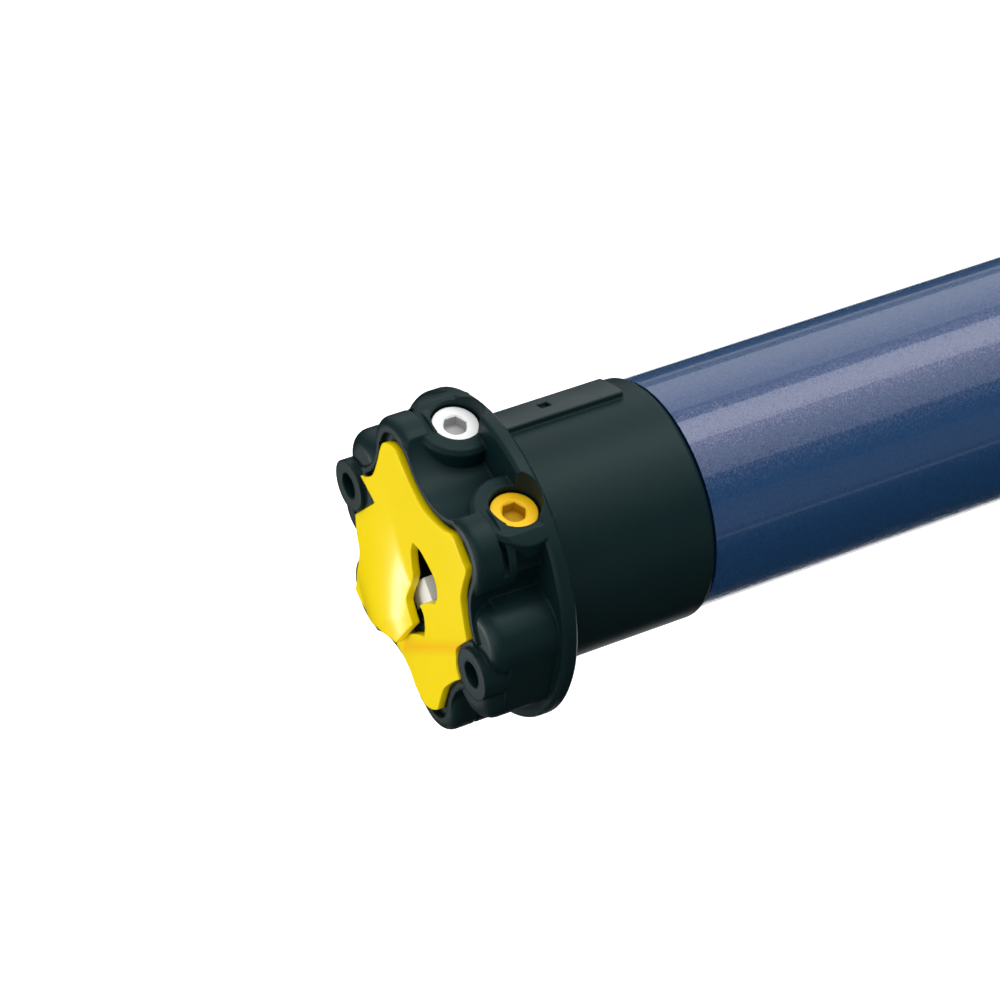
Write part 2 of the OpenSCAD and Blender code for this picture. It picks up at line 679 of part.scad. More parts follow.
module capacitor() color([0.85, 0.85, 0.83]) {
  rod_x(capacitor_x0, capacitor_x1, capacitor_r);
  for (sy = SIDES) at_yz(sy * 5, 0) rod_x(capacitor_x1 - eps, capacitor_x1 + 5, 0.8);
}
module cup(x0, open_low) difference() {
  rod_x(x0, x0 + cup_len, fit_r);
  rod_x(open_low ? x0 - past : x0 + cup_t, open_low ? x0 + cup_len - cup_t : x0 + cup_len + past,
    capacitor_r + 0.1);
  rod_x(x0 - past, x0 + cup_len + past, 8);
  for (a = [0 : 90 : 270]) turned(a) at_yz(fit_r, 0) rod_x(x0 - past, x0 + cup_len + past, 2.5);
}
module capacitor_holder() color(NYLON) {
  cup(capacitor_x0 - cup_t, false);
  cup(capacitor_x1 + cup_t - cup_len, true);
}

// Spring-applied disc brake
coil_ri = 9.4;
coil_ro = 17;
coil_x0 = brake_x0 + 5;
spring_ro = 5.6;
spring_ri = 4.6;
module brake_magnet() color(STEEL) difference() {
  rod_x(brake_x0, brake_x0 + magnet_len, fit_r);
  ring_x(coil_x0 - 0.1, brake_x0 + magnet_len + past, coil_ro + 0.1, coil_ri - 0.1);
  rod_x(brake_x0 + 4, brake_x0 + magnet_len + past, spring_ro + 0.3);
}
module brake_coil() color(COPPER) ring_x(coil_x0, brake_x0 + magnet_len - 0.5, coil_ro, coil_ri);
module brake_spring() color(STEEL)
  ring_x(brake_x0 + 4.1, armature_x0 - 0.75, spring_ro, spring_ri);
module brake_armature() color(ZINC) difference() {
  rod_x(armature_x0, armature_x0 + armature_t, fit_r - 0.6);
  rod_x(armature_x0 - past, armature_x0 + armature_t + past, shaft_r + 1);
}
module brake_disc() color([0.25, 0.22, 0.20]) ring_x(disc_x0, disc_x0 + brake_disc_t, fit_r - 2, shaft_r);

// Motor
module shield(x0, seat_x0) difference() {
  rod_x(x0, x0 + shield_t, fit_r);
  rod_x(seat_x0, seat_x0 + bearing_w + 3, bearing_r + 0.02);
  rod_x(x0 - past, x0 + shield_t + past, shaft_r + 2);
  for (a = [45 : 90 : 315]) turned(a) at_yz(16, 0) rod_x(x0 + 3, x0 + shield_t + past, 2.5);
}
module front_shield() color(ZINC) shield(shield_x0, shield_x0 + 2);
module rear_shield() color(ZINC) translate([rear_shield_x0 + rear_shield_x1, 0, 0]) mirror([1, 0, 0])
  shield(rear_shield_x0, rear_shield_x0 + 2);
module bearing(x0) {
  ring_x(x0, x0 + bearing_w, bearing_r, 8.6);
  ring_x(x0, x0 + bearing_w, 6.2, shaft_r + run_gap);
  ring_x(x0 + 2, x0 + bearing_w - 2, 8.6 + eps, 6.2 - eps);
}
module front_bearing() color(STEEL) bearing(shield_x0 + 2);
module rear_bearing() color(STEEL) bearing(rear_shield_x1 - 2 - bearing_w);
module slot_shape(grow) for (i = [0 : slots - 1]) rotate(i * turn / slots) {
  translate([slot_in - grow, -slot_w / 2 - grow]) square([slot_out - slot_in + 2 * grow, slot_w + 2 * grow]);
  if (grow > 0) translate([stator_bore_r - past, -slot_mouth / 2]) square([past + 1.5, slot_mouth]);
}
module stator_core() color(STEEL) prism_x(stack_x0, stack_x1) difference() {
  circle(fit_r);
  circle(stator_bore_r);
  slot_shape(0.1);
}
module end_turn(x0, x1) revolve_x([
  [x0, slot_in + 1], [x0, slot_out - 0.5], [x0 + 1.5, slot_out + 0.6], [x1 - 1.5, slot_out + 0.6],
  [x1, slot_out - 0.5], [x1, slot_in + 1], [x1 - 1.5, slot_in], [x0 + 1.5, slot_in]
]);
module stator_winding() color(COPPER) {
  end_turn(winding_x0, stack_x0 - 0.2);
  end_turn(stack_x1 + 0.2, winding_x1);
  prism_x(stack_x0 - 0.5, stack_x1 + 0.5) slot_shape(0);
}
module rotor_core() color(STEEL) ring_x(stack_x0, stack_x1, rotor_r, shaft_r);
module rotor_end_rings() color(ZINC) {
  ring_x(stack_x0 - 4, stack_x0, rotor_r - 0.3, shaft_r + 2.5);
  ring_x(stack_x1, stack_x1 + 4, rotor_r - 0.3, shaft_r + 2.5);
}
module motor_shaft() color(STEEL) {
  rod_x(armature_x0 - 0.5, ring_x0, shaft_r - 0.02);
  rod_x(ring_x0 - eps, stage_x0[0] - 0.5, gear_m * sun_z / 2 - dedendum);
  prism_x(stage_x0[0] - 0.5 - eps, stage_x1(0)) outer_gear(sun_z);
}

// Planetary gearbox: three stages in one toothed sleeve
module ring_gear() color(STEEL) prism_x(ring_x0, ring_x1) difference() {
  circle(fit_r);
  gear_hole(ring_z);
}
module planet(s, k) turned(k * turn / planets) at_yz(planet_orbit, 0) difference() {
  prism_x(stage_x0[s], stage_x1(s)) outer_gear(planet_z);
  rod_x(stage_x0[s] - past, stage_x1(s) + past, planet_pin_r + run_gap);
}
module carrier(s) {
  rod_x(carrier_x0(s), carrier_x1(s), carrier_r);
  for (k = [0 : planets - 1]) turned(k * turn / planets) at_yz(planet_orbit, 0)
    rod_x(stage_x0[s] + 0.2, carrier_x0(s) + eps, planet_pin_r);
}
module first_carrier() color(STEEL) {
  carrier(0);
  prism_x(carrier_x1(0) - eps, stage_x1(1)) outer_gear(sun_z);
}
module second_carrier() color(STEEL) {
  carrier(1);
  prism_x(carrier_x1(1) - eps, stage_x1(2)) outer_gear(sun_z);
}
module first_planet_a() color(BRASS) planet(0, 0);
module first_planet_b() color(BRASS) planet(0, 1);
module first_planet_c() color(BRASS) planet(0, 2);
module second_planet_a() color(STEEL) planet(1, 0);
module second_planet_b() color(STEEL) planet(1, 1);
module second_planet_c() color(STEEL) planet(1, 2);
module third_planet_a() color(STEEL) planet(2, 0);
module third_planet_b() color(STEEL) planet(2, 1);
module third_planet_c() color(STEEL) planet(2, 2);

// Output shaft in one piece with the third carrier: round in the bush, flatted in the drive wheel
module flats(w) square([w, 4 * drive_r], center = true);
module shaft_section(r, grow) intersection() {
  circle(r);
  flats(drive_shaft_flats + 2 * grow);
}
module output_shaft() color(STEEL) {
  carrier(2);
  rod_x(carrier_x1(2) - eps, out_flange_x1 + 0.5, out_shaft_r);
  difference() {
    prism_x(out_flange_x1 + 0.5 - eps, shaft_end) shaft_section(drive_r, 0);
    ring_x(wheel_x1 + clip_gap - 0.1, wheel_x1 + clip_gap + clip_t + 0.1, drive_r + past, groove_r);
  }
}
module output_flange() color(BLACK) difference() {
  union() {
    rod_x(ring_x1 + 0.2, tube_x1 + eps, fit_r);
    revolve_x([
      [tube_x1, 0], [tube_x1, tube_r], [out_flange_x1 - 1, tube_r], [out_flange_x1, tube_r - 1],
      [out_flange_x1, 0]
    ]);
  }
  rod_x(ring_x1 - past, ring_x1 + flange_recess, carrier_r);
  rod_x(ring_x1, out_flange_x1 + past, bush_r + 0.02);
  for (a = rear_screw_angles) turned(a) translate([rear_screw_x, fit_r - 6, 0])
    rotate([-90, 0, 0]) cylinder(r = screw_r, h = 9);
}
module output_bush() color(BRASS) ring_x(bush_x0, out_flange_x1, bush_r, out_shaft_r + run_gap);

// Drive wheel: hub, six ribs and a keyed rim that takes the roller tube round
hub_r = 11;
rim_t = 3;
rib_t = 2.6;
ribs = 6;
module drive_wheel() color(BLACK) difference() {
  union() {
    ring_x(wheel_x0, wheel_x1, wheel_d / 2, wheel_d / 2 - rim_t);
    rod_x(wheel_x0, wheel_x1, hub_r);
    rod_x(wheel_x0 + wheel_w / 2 - 1.5, wheel_x0 + wheel_w / 2 + 1.5, wheel_d / 2 - rim_t / 2);
    for (i = [0 : ribs - 1]) turned(i * turn / ribs + key_angle) translate([wheel_x0 + 1, hub_r - 2, -rib_t / 2])
      cube([wheel_w - 2, wheel_d / 2 - rim_t - hub_r + 3, rib_t]);
    turned(key_angle) translate([wheel_x0, 0, 0]) intersection() {
      translate([0, wheel_d / 2 - 2, -key_w / 2]) cube([wheel_w, 4, key_w]);
      rod_x(0, wheel_w, wheel_d / 2 + key_h);
    }
  }
  prism_x(wheel_x0 - past, wheel_x1 + past) shaft_section(drive_r + 0.05, 0.05);
}
module wheel_clip() color(STEEL) prism_x(wheel_x1 + clip_gap, wheel_x1 + clip_gap + clip_t) difference() {
  circle(drive_r + 2);
  circle(groove_r + 0.05);
  translate([0, -drive_r * 2]) square([groove_r * 1.5, drive_r * 4], center = true);
}

head_body();
front_cover();
cable_socket();
contact_pins();
white_adjuster();
yellow_adjuster();
white_flex_shaft();
yellow_flex_shaft();
crown();
limit_frame();
frame_screws();
counter_spindle();
counter_nut();
white_set_spindle();
yellow_set_spindle();
white_switch_carriage();
yellow_switch_carriage();
white_microswitch();
yellow_microswitch();
white_switch_button();
yellow_switch_button();
motor_tube();
tube_screws();
capacitor();
capacitor_holder();
brake_magnet();
brake_coil();
brake_spring();
brake_armature();
brake_disc();
front_shield();
rear_shield();
front_bearing();
rear_bearing();
stator_core();
stator_winding();
rotor_core();
rotor_end_rings();
motor_shaft();
ring_gear();
first_carrier();
second_carrier();
first_planet_a();
first_planet_b();
first_planet_c();
second_planet_a();
second_planet_b();
second_planet_c();
third_planet_a();
third_planet_b();
third_planet_c();
output_shaft();
output_flange();
output_bush();
drive_wheel();
wheel_clip();
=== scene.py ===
# %% [markdown]
# # A tubular motor for a roller blind
# The motor slides into the roller tube of a blind. Its black moulded head sits in the wall bracket, a loose
# crown beside it follows the roller tube and tells the limit unit how far the blind has gone, and the far end
# of the blue tube carries the drive wheel. The CAD model is loaded as a fixed frame, so every piece below is
# made in place, in metres, with X along the motor and Z up.

# %% Load the frame
import json
import math

import bmesh
import bpy
import numpy as np
from mathutils import Matrix, Vector


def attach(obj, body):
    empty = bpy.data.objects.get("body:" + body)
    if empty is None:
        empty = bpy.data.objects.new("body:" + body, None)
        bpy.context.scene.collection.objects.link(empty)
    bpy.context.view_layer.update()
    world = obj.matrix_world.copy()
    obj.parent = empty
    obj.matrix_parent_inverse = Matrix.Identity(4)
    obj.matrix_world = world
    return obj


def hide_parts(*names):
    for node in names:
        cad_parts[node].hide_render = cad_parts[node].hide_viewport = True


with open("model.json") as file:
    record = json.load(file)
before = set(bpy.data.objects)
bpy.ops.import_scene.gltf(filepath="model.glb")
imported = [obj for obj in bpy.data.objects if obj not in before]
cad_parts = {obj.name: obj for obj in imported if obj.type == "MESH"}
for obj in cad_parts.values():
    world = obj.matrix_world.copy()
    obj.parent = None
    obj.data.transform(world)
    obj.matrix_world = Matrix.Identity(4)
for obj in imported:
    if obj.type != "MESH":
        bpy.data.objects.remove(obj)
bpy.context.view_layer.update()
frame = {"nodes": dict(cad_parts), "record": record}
NODES = frame["nodes"]
MM = 0.001

# %% [markdown]
# ## Camera
# The photograph was taken with a long lens from the front left, looking down steeply. A camera could be aimed
# with angles, but the fit to the photograph gave its three axes directly, so they are the matrix's columns.

# %% Camera
RIGHT = Vector((0.870615, -0.476002, 0.124306))
UP = Vector((0.290497, 0.701322, 0.650968))
AHEAD = Vector((0.397040, 0.530632, -0.748859))
EYE = Vector((-0.254353, -0.362541, 0.525923))

camera = bpy.data.objects.new("camera", bpy.data.cameras.new("camera"))
bpy.context.scene.collection.objects.link(camera)
camera.data.sensor_width = 36
camera.data.lens = 136.8
camera.data.clip_start = 0.02
camera.matrix_world = Matrix((
    (RIGHT.x, UP.x, -AHEAD.x, EYE.x),
    (RIGHT.y, UP.y, -AHEAD.y, EYE.y),
    (RIGHT.z, UP.z, -AHEAD.z, EYE.z),
    (0, 0, 0, 1),
))
bpy.context.scene.camera = camera
bpy.context.scene.view_settings.view_transform = "Standard"
print("camera", round(EYE.length, 3), "m from the mounting plane's middle")

# %% [markdown]
# ## Studio light
# A product studio hangs large softboxes round the object. The blue tube works as a mirror for them, so each box
# hangs at the angle where its band should show. From the tube's far edge down these are the grey-blue band of
# the overhead box, the bright band of the overhead core, its soft end from the overhead fall, and the weak band
# of the front box. The head box lights the head and the cover from the left. Area lamps are used, because their
# glow is even and their edges stay soft. Each is given by the brightness of its face, so a bigger box also gives
# more light.

# %% Softboxes
def softbox(name, centre, aim, width, height, glow):
    """A rectangular lamp at centre facing aim, its width along the motor. Its power is glow times pi times its
    area, the light that a face of that brightness sends out."""
    lamp = bpy.data.lights.new(name, "AREA")
    lamp.shape = "RECTANGLE"
    lamp.size, lamp.size_y = width, height
    lamp.energy = glow * math.pi * width * height
    box = bpy.data.objects.new(name, lamp)
    bpy.context.scene.collection.objects.link(box)
    back = (Vector(centre) - Vector(aim)).normalized()
    faces_along_x = abs(back.x) >= 0.8
    long = Vector((0, 1, 0)) if faces_along_x else Vector((1, 0, 0))
    short = back.cross(long).normalized()
    long = short.cross(back)
    box.matrix_world = Matrix.Translation(centre) @ Matrix((long, short, back)).transposed().to_4x4()
    box.visible_camera = False
    return box


def over_tube(angle, distance, x):
    """The point at that distance from the motor's axis, angle degrees up from +Y, beside the place x."""
    a = math.radians(angle)
    return (x, distance * math.cos(a), distance * math.sin(a))


TUBE_AIM = (0.1, 0, 0)
HEAD_AIM = (0, 0, 0)
softbox("overhead box", over_tube(29, 1.15, 0.30), TUBE_AIM, width=2.2, height=0.90, glow=1.45)
softbox("overhead core", over_tube(77, 1.12, 0.35), TUBE_AIM, width=2.2, height=0.46, glow=4.2)
softbox("overhead fall", over_tube(107, 1.12, 0.35), TUBE_AIM, width=2.2, height=0.66, glow=1.35)
softbox("front box", over_tube(165, 1.2, 0.10), TUBE_AIM, width=2.0, height=0.6, glow=0.2)
softbox("head box", (-1.15, -0.08, 0.28), HEAD_AIM, width=0.9, height=0.9, glow=2.3)

# %% [markdown]
# A white floor would also shine in the underside of the lacquered tube and flatten its deep blue. Photographers
# hang black cards, called flags, beside a shiny product for that reason. Here each flag is a strip of a
# cylinder round the motor, from one angle to another, that only reflections can see. One more card is lit: it
# draws the pale streak along the hood of the cover.

# %% Flags
CARD_RADIUS = 0.24
CARD_FACES = 24


def flag(name, cloth, first, last, x0, x1):
    """A curved card: points at CARD_RADIUS from the axis, from angle first to last (degrees up from +Y),
    carried straight along X from x0 to x1. Only reflections see it."""
    a = np.radians(np.linspace(first, last, CARD_FACES + 1))
    x = np.array([x0, x1])
    points = np.stack(np.broadcast_arrays(x[None, :], CARD_RADIUS * np.cos(a)[:, None],
                                          CARD_RADIUS * np.sin(a)[:, None]), axis=-1).reshape(-1, 3)
    k = np.arange(CARD_FACES) * 2
    mesh = bpy.data.meshes.new(name)
    mesh.from_pydata(points.tolist(), [], np.stack([k, k + 1, k + 3, k + 2], axis=1).tolist())
    card = bpy.data.objects.new(name, mesh)
    bpy.context.scene.collection.objects.link(card)
    card.visible_camera = card.visible_diffuse = card.visible_shadow = card.visible_transmission = False
    mesh.materials.append(cloth)
    return card


def card_cloth(name, glow):
    """A nearly black cloth, or with a glow a lit white card."""
    cloth = bpy.data.materials.new(name)
    cloth.use_nodes = True
    weave = cloth.node_tree.nodes["Principled BSDF"]
    weave.inputs["Base Color"].default_value = (0.01, 0.01, 0.01, 1)
    weave.inputs["Specular IOR Level"].default_value = 0.0
    weave.inputs["Emission Color"].default_value = (1, 1, 1, 1)
    weave.inputs["Emission Strength"].default_value = glow
    return cloth


black_cloth = card_cloth("flag cloth", 0.0)
cards = [
    flag("front flag", black_cloth, 184, 273, -0.6, 1.6),
    flag("rear flag", black_cloth, -34, -5, -0.6, 1.6),
    flag("head flag", black_cloth, -84, -26, -0.185, 0.12),
    flag("hood card", card_cloth("lit card", 26.0), -60, -46, -0.25, -0.188),
]
print(len(cards), "cards")

# %% [markdown]
# ## Floor and surroundings
# The product was cut out on pure white. The floor is a plain pale sheet a little way below the motor, so that
# its soft shadow falls beside the picture. What the camera and the reflections see of it gets a little extra
# glow to reach white, which leaves the light on the motor as it is. Seen from below it lets the view through.
# The surroundings fill the shadows, but count for less in reflections, as in a studio with dark walls.

# %% Floor and world
def wire(tree, source, target):
    """Joins an output socket to an input socket."""
    tree.links.new(source, target)


def add(tree, kind, **values):
    """Adds a node of that kind and sets its plain properties."""
    made = tree.nodes.new(kind)
    for key, value in values.items():
        setattr(made, key, value)
    return made


def calc(tree, operation, a, b=0.0, clamp=False):
    """A Math node: a and b are numbers or output sockets. Returns its result socket."""
    made = add(tree, "ShaderNodeMath", operation=operation, use_clamp=clamp)
    for k, value in enumerate((a, b)):
        if isinstance(value, (int, float)):
            made.inputs[k].default_value = value
        else:
            wire(tree, value, made.inputs[k])
    return made.outputs[0]


FLOOR_Z = -0.25
FLOOR_HALF = 4
FLOOR_GLOW = 0.5
SKY_GLOW = 0.36
SKY_GLOW_LESS_IN_REFLECTIONS = 0.22

floor_mesh = bpy.data.meshes.new("floor")
corners = [(x * FLOOR_HALF, y * FLOOR_HALF, FLOOR_Z) for x, y in ((-1, -1), (1, -1), (1, 1), (-1, 1))]
floor_mesh.from_pydata(corners, [], [(0, 1, 2, 3)])
floor = bpy.data.objects.new("floor", floor_mesh)
bpy.context.scene.collection.objects.link(floor)

floor_paint = bpy.data.materials.new("pale floor")
floor_paint.use_nodes = True
tree = floor_paint.node_tree
face = tree.nodes["Principled BSDF"]
face.inputs["Base Color"].default_value = (0.86, 0.86, 0.86, 1)
face.inputs["Roughness"].default_value = 0.9
face.inputs["Specular IOR Level"].default_value = 0.1
path = add(tree, "ShaderNodeLightPath")
seen = calc(tree, "MAXIMUM", path.outputs["Is Camera Ray"], path.outputs["Is Glossy Ray"])
seen = calc(tree, "MAXIMUM", seen, path.outputs["Is Transmission Ray"])
face.inputs["Emission Color"].default_value = (1, 1, 1, 1)
wire(tree, calc(tree, "MULTIPLY", seen, FLOOR_GLOW), face.inputs["Emission Strength"])
see_through = add(tree, "ShaderNodeBsdfTransparent")
sides = add(tree, "ShaderNodeNewGeometry")
either = add(tree, "ShaderNodeMixShader")
wire(tree, sides.outputs["Backfacing"], either.inputs[0])
wire(tree, face.outputs[0], either.inputs[1])
wire(tree, see_through.outputs[0], either.inputs[2])
wire(tree, either.outputs[0], tree.nodes["Material Output"].inputs["Surface"])
floor_mesh.materials.append(floor_paint)

world = bpy.data.worlds.new("studio")
bpy.context.scene.world = world
world.use_nodes = True
world.node_tree.nodes["Background"].inputs["Color"].default_value = (0.93, 0.97, 1.0, 1)
tree = world.node_tree
path = add(tree, "ShaderNodeLightPath")
dimmed = calc(tree, "MULTIPLY", path.outputs["Is Glossy Ray"], -SKY_GLOW_LESS_IN_REFLECTIONS)
wire(tree, calc(tree, "ADD", dimmed, SKY_GLOW), tree.nodes["Background"].inputs["Strength"])
print("floor at", FLOOR_Z, "m")

# %% [markdown]
# ## Shared surface effects
# Moulded and turned parts have two things in common: no edge is perfectly sharp, and no face is perfectly
# even. Both effects are node groups, built once. The first rounds every edge for the light by a small radius
# and lays a fine grain on the faces. The second draws the fine rings that a lathe tool leaves.

# %% Group: moulded surface
def new_group(name, inputs, outputs):
    """An empty shader group with those inputs (name, socket type, value) and outputs (name, socket type)."""
    made = bpy.data.node_groups.new(name, "ShaderNodeTree")
    for label, kind, value in inputs:
        socket = made.interface.new_socket(label, in_out="INPUT", socket_type=kind)
        socket.default_value = value
    for label, kind in outputs:
        made.interface.new_socket(label, in_out="OUTPUT", socket_type=kind)
    return made, add(made, "NodeGroupInput"), add(made, "NodeGroupOutput")


FLOAT, COLOUR, VECTOR = "NodeSocketFloat", "NodeSocketColor", "NodeSocketVector"

moulded, given, result = new_group(
    "moulded surface",
    [("Edge radius", FLOAT, 0.0004), ("Grain per metre", FLOAT, 2600.0), ("Grain depth", FLOAT, 0.00002),
     ("Roughness", FLOAT, 0.4), ("Roughness spread", FLOAT, 0.08), ("Wear", FLOAT, 0.3)],
    [("Normal", VECTOR), ("Roughness", FLOAT), ("Mottle", FLOAT), ("Edge", FLOAT)],
)
place = add(moulded, "ShaderNodeTexCoord")
soft = add(moulded, "ShaderNodeBevel", samples=6)
wire(moulded, given.outputs["Edge radius"], soft.inputs["Radius"])
grain = add(moulded, "ShaderNodeTexNoise")
grain.inputs["Detail"].default_value = 3
wire(moulded, place.outputs["Object"], grain.inputs["Vector"])
wire(moulded, given.outputs["Grain per metre"], grain.inputs["Scale"])
bumps = add(moulded, "ShaderNodeBump")
wire(moulded, grain.outputs["Fac"], bumps.inputs["Height"])
wire(moulded, given.outputs["Grain depth"], bumps.inputs["Distance"])
wire(moulded, soft.outputs["Normal"], bumps.inputs["Normal"])
wire(moulded, bumps.outputs["Normal"], result.inputs["Normal"])

cloud = add(moulded, "ShaderNodeTexNoise")
cloud.inputs["Scale"].default_value = 90
cloud.inputs["Detail"].default_value = 4
wire(moulded, place.outputs["Object"], cloud.inputs["Vector"])
wire(moulded, cloud.outputs["Fac"], result.inputs["Mottle"])
spread = calc(moulded, "MULTIPLY", calc(moulded, "SUBTRACT", cloud.outputs["Fac"], 0.5),
              given.outputs["Roughness spread"])
wire(moulded, calc(moulded, "ADD", given.outputs["Roughness"], spread, clamp=True), result.inputs["Roughness"])

shape = add(moulded, "ShaderNodeNewGeometry")
turned_away = add(moulded, "ShaderNodeVectorMath", operation="DOT_PRODUCT")
wire(moulded, soft.outputs["Normal"], turned_away.inputs[0])
wire(moulded, shape.outputs["Normal"], turned_away.inputs[1])
EDGE_GAIN = 6.0
edge = calc(moulded, "SUBTRACT", 1.0, turned_away.outputs["Value"])
edge = calc(moulded, "MULTIPLY", edge, EDGE_GAIN, clamp=True)
patchy = calc(moulded, "MULTIPLY", edge, cloud.outputs["Fac"])
wire(moulded, calc(moulded, "MULTIPLY", patchy, given.outputs["Wear"], clamp=True), result.inputs["Edge"])
print("moulded surface:", len(moulded.nodes), "nodes")

# %% Group: lathe rings
rings, given, result = new_group(
    "lathe rings",
    [("Pitch", FLOAT, 0.0003), ("Depth", FLOAT, 0.000006), ("Normal", VECTOR, (0, 0, 0))],
    [("Normal", VECTOR), ("Shade", FLOAT)],
)
place = add(rings, "ShaderNodeTexCoord")
split = add(rings, "ShaderNodeSeparateXYZ")
wire(rings, place.outputs["Object"], split.inputs[0])
y2 = calc(rings, "MULTIPLY", split.outputs["Y"], split.outputs["Y"])
z2 = calc(rings, "MULTIPLY", split.outputs["Z"], split.outputs["Z"])
radius = calc(rings, "SQRT", calc(rings, "ADD", y2, z2))
along = calc(rings, "DIVIDE", calc(rings, "ADD", split.outputs["X"], radius), given.outputs["Pitch"])
line = add(rings, "ShaderNodeTexNoise", noise_dimensions="1D")
line.inputs["Scale"].default_value = 1.0
line.inputs["Detail"].default_value = 2
wire(rings, along, line.inputs["W"])
groove = add(rings, "ShaderNodeBump")
wire(rings, line.outputs["Fac"], groove.inputs["Height"])
wire(rings, given.outputs["Depth"], groove.inputs["Distance"])
wire(rings, given.outputs["Normal"], groove.inputs["Normal"])
wire(rings, groove.outputs["Normal"], result.inputs["Normal"])
wire(rings, line.outputs["Fac"], result.inputs["Shade"])
print("lathe rings:", len(rings.nodes), "nodes")

# %% [markdown]
# ## A finish for plain materials
# Most pieces are one stuff all through: a moulded plastic, a turned steel, a cast zinc. One recipe serves them:
# the base colour drifts a little from place to place, edges are slightly lighter where hands and tools have
# polished them, and the grain comes from the shared group. The Principled shader stays in the material itself.
# The three plastics of the head are written down once, because single pieces below vary them.

# %% Plain finishes
def finish(name, colour, shade=0.12, rough=0.4, spread=0.08, metal=0.0, shine=0.5, grain=2600.0, depth=0.00002,
           edge=0.0004, wear=0.25, worn=None, lathe=0.0, coat=0.0, sheen=(1, 1, 1), zone=None, mark=(0, 0, 0)):
    """A material whose colour drifts by shade around its value and goes towards worn along the edges. A zone is a
    function that adds a mask to the tree, and the colour goes to mark inside it; the zones used below paint shade
    in the adjusters' wells and on the cover's fold, and a highlight on the crown's key."""
    made = bpy.data.materials.new(name)
    made.use_nodes = True
    tree = made.node_tree
    shader = tree.nodes["Principled BSDF"]
    shader.inputs["Metallic"].default_value = metal
    shader.inputs["Specular IOR Level"].default_value = shine
    shader.inputs["Specular Tint"].default_value = (*sheen, 1)
    shader.inputs["Coat Weight"].default_value = coat
    shader.inputs["Coat Roughness"].default_value = 0.08
    skin = add(tree, "ShaderNodeGroup", node_tree=moulded)
    for label, value in (("Edge radius", edge), ("Grain per metre", grain), ("Grain depth", depth),
                         ("Roughness", rough), ("Roughness spread", spread), ("Wear", wear)):
        skin.inputs[label].default_value = value
    drift = add(tree, "ShaderNodeMix", data_type="RGBA")
    drift.inputs[6].default_value = (*[c * (1 - shade) for c in colour], 1)
    drift.inputs[7].default_value = (*[min(1.0, c * (1 + shade)) for c in colour], 1)
    wire(tree, skin.outputs["Mottle"], drift.inputs[0])
    edges = add(tree, "ShaderNodeMix", data_type="RGBA")
    wire(tree, skin.outputs["Edge"], edges.inputs[0])
    wire(tree, drift.outputs[2], edges.inputs[6])
    edges.inputs[7].default_value = (*(worn or [min(1.0, c * 1.5 + 0.02) for c in colour]), 1)
    paint = edges.outputs[2]
    if zone:
        marked = add(tree, "ShaderNodeMix", data_type="RGBA")
        wire(tree, zone(tree, skin.outputs["Mottle"]), marked.inputs[0])
        wire(tree, paint, marked.inputs[6])
        marked.inputs[7].default_value = (*mark, 1)
        paint = marked.outputs[2]
    wire(tree, paint, shader.inputs["Base Color"])
    wire(tree, skin.outputs["Roughness"], shader.inputs["Roughness"])
    normal = skin.outputs["Normal"]
    if lathe:
        turned = add(tree, "ShaderNodeGroup", node_tree=rings)
        turned.inputs["Pitch"].default_value = lathe
        wire(tree, normal, turned.inputs["Normal"])
        normal = turned.outputs["Normal"]
    wire(tree, normal, shader.inputs["Normal"])
    return made


FINE_GRAIN = dict(grain=1800, depth=0.000008)
BLACK = dict(colour=(0.0023, 0.0120, 0.0135), rough=0.44, shine=0.18, sheen=(0.8, 1.0, 0.97), grain=3200,
             depth=0.000016, edge=0.0006, wear=0.35, worn=(0.02, 0.034, 0.036))
YELLOW = dict(colour=(0.93, 0.69, 0.0), shade=0.03, rough=0.22, shine=0.13, edge=0.0005, wear=0.1,
              worn=(1.0, 0.80, 0.05), **FINE_GRAIN)
WHITE = dict(colour=(0.88, 0.88, 0.87), shade=0.02, shine=0.45, wear=0.1, **FINE_GRAIN)

FINISHES = {
    "black_plastic": finish("black moulded plastic", **BLACK),
    "yellow_plastic": finish("yellow moulded plastic", **YELLOW),
    "white_plastic": finish("white moulded plastic", rough=0.35, **WHITE),
    "natural_plastic": finish("natural nylon", (0.66, 0.64, 0.56), shade=0.06, rough=0.45, edge=0.0003),
    "red_plastic": finish("red moulded plastic", (0.50, 0.02, 0.015), shade=0.05, rough=0.35, edge=0.0002),
    "bright_steel": finish("turned steel", (0.56, 0.57, 0.58), rough=0.26, metal=1.0, edge=0.0002, depth=0.000004,
                           lathe=0.0003, worn=(0.75, 0.76, 0.78)),
    "gear_steel": finish("sintered gear steel", (0.34, 0.34, 0.35), rough=0.42, metal=1.0, grain=5000,
                         depth=0.000012, edge=0.00015, worn=(0.62, 0.62, 0.64)),
    "brass": finish("turned brass", (0.66, 0.46, 0.17), rough=0.24, metal=1.0, edge=0.0002, depth=0.000004,
                    lathe=0.0003, worn=(0.85, 0.68, 0.35)),
    "zinc": finish("cast zinc", (0.48, 0.49, 0.50), shade=0.2, rough=0.48, metal=1.0, grain=1400,
                   depth=0.00004, edge=0.0004, worn=(0.7, 0.7, 0.72)),
    "copper": finish("enamelled copper wire", (0.50, 0.17, 0.06), rough=0.3, metal=0.9, grain=1500,
                     depth=0.0002, edge=0.0004, coat=0.4),
    "lamination": finish("stacked core sheet", (0.16, 0.165, 0.175), rough=0.45, metal=0.9, lathe=0.0005,
                         depth=0.00001, edge=0.0002, worn=(0.4, 0.4, 0.42)),
    "can": finish("drawn can", (0.70, 0.70, 0.68), shade=0.05, rough=0.3, metal=1.0, edge=0.0006, depth=0.000004),
    "friction": finish("brake lining", (0.06, 0.045, 0.035), shade=0.5, rough=0.8, grain=1600, depth=0.00006),
}
print(len(FINISHES), "plain finishes")
